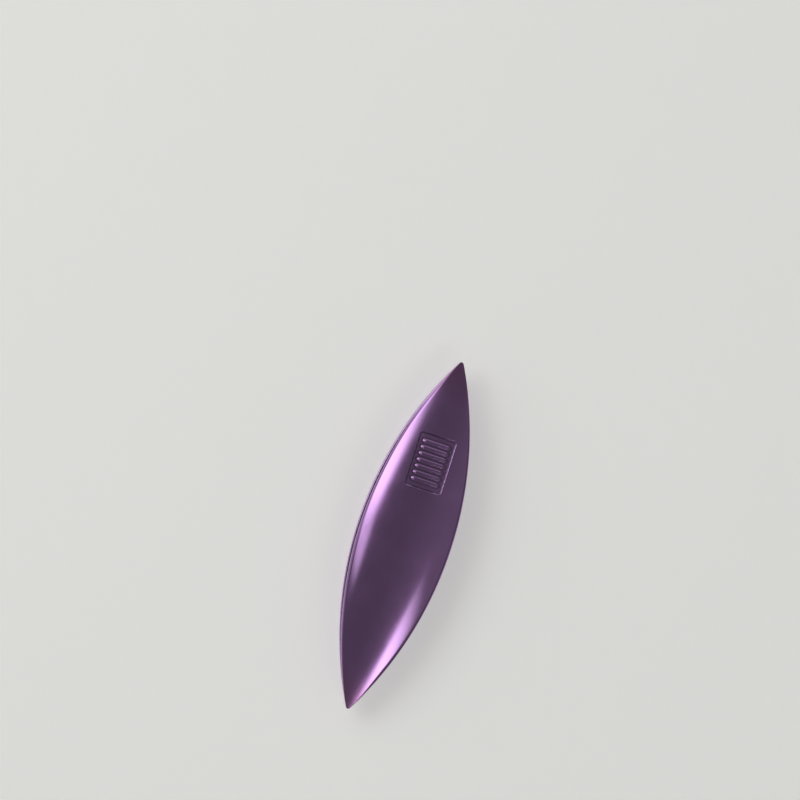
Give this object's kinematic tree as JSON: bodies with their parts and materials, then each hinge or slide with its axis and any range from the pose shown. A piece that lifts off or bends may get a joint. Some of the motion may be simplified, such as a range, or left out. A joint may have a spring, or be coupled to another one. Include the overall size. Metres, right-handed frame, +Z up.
{
  "type": "tatting shuttle",
  "caption": "Slim pointed shuttle of crowned metal blades that close at their tips, round a drilled core that holds and pays out the thread for tatting.",
  "frame": {"origin": "under the middle of the shuttle, on the belly of the lower blade, which it lies on", "axes": "+X along the length, towards the tip nearer the coined panel; +Y across the width; +Z up, out of the upper blade's back"},
  "size_m": [0.062, 0.016, 0.0098],
  "materials": {
    "anodised_blade": "purple dyed anodised, satin",
    "plain_core": "natural, fine satin"
  },
  "bodies": {
    "root": {"upper_blade": "anodised_blade", "lower_blade": "anodised_blade", "core": "plain_core"}
  },
  "joints": []
}
